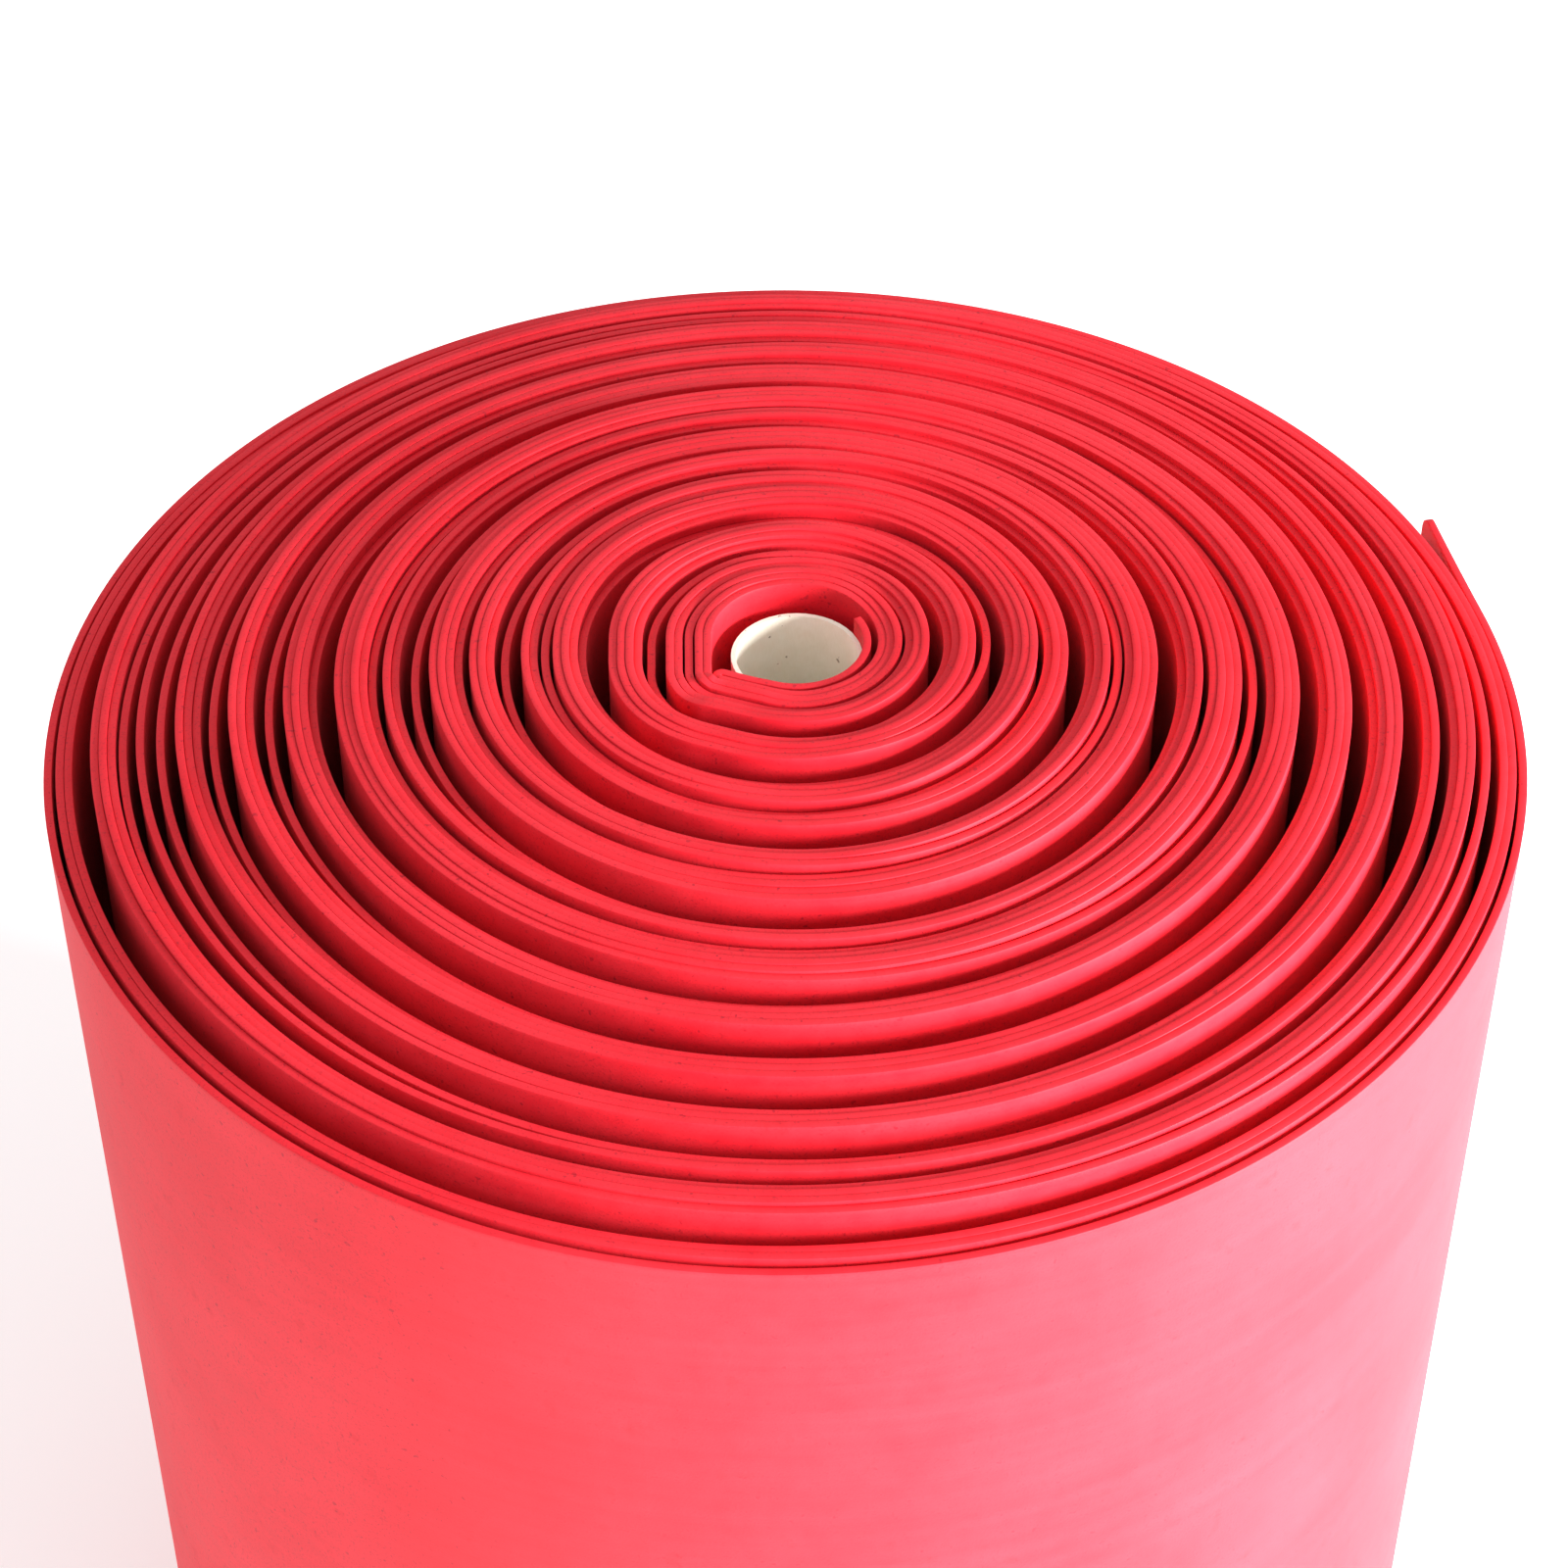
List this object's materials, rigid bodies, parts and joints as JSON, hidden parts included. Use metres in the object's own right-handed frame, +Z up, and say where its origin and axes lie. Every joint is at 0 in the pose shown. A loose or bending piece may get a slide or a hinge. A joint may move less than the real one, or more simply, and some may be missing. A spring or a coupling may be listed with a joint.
{
  "type": "backdrop foam sheet roll",
  "caption": "Roll of thin foam backdrop sheet wound on a paperboard core, standing on end, with a folded lead at the core and a loose outer end.",
  "frame": {"origin": "the core tube's axis where it meets the floor", "axes": "+Z up along the core's axis, +Y to the far side, +X to the side where the loose end leaves the roll"},
  "size_m": [0.9219, 0.9189, 1.06],
  "materials": {
    "foam_sheet": "matte",
    "core_board": "matte"
  },
  "bodies": {
    "roll": {"core_tube": "core_board", "lead_fold": "foam_sheet", "turns_01": "foam_sheet", "turns_02": "foam_sheet", "turns_03": "foam_sheet", "turns_04": "foam_sheet", "turns_05": "foam_sheet", "turns_06": "foam_sheet", "turns_07": "foam_sheet", "turns_08": "foam_sheet", "turns_09": "foam_sheet", "turns_10": "foam_sheet"},
    "tail_1": {"tail_1": "foam_sheet"},
    "tail_2": {"tail_2": "foam_sheet"},
    "tail_3": {"tail_3": "foam_sheet"},
    "tail_4": {"tail_4": "foam_sheet"},
    "tail_5": {"tail_5": "foam_sheet"}
  },
  "joints": [
    {"name": "crease_1", "type": "hinge", "parent": "roll", "child": "tail_1", "pos_m": [0.04218, -0.46188, 0.5], "axis": [0, 0, -1], "range_deg": [0, 40], "stiffness_Nm_per_rad": 0.08},
    {"name": "crease_2", "type": "hinge", "parent": "tail_1", "child": "tail_2", "pos_m": [0.27931, -0.36511, 0.5], "axis": [0, 0, -1], "range_deg": [0, 40], "stiffness_Nm_per_rad": 0.08},
    {"name": "crease_3", "type": "hinge", "parent": "tail_2", "child": "tail_3", "pos_m": [0.42913, -0.15738, 0.5], "axis": [0, 0, -1], "range_deg": [0, 40], "stiffness_Nm_per_rad": 0.08},
    {"name": "crease_4", "type": "hinge", "parent": "tail_3", "child": "tail_4", "pos_m": [0.44611, 0.09818, 0.5], "axis": [0, 0, -1], "range_deg": [-3, 40], "stiffness_Nm_per_rad": 0.05},
    {"name": "crease_5", "type": "hinge", "parent": "tail_4", "child": "tail_5", "pos_m": [0.4351, 0.14904, 0.5], "axis": [0, 0, -1], "range_deg": [-6, 40], "stiffness_Nm_per_rad": 0.05}
  ]
}
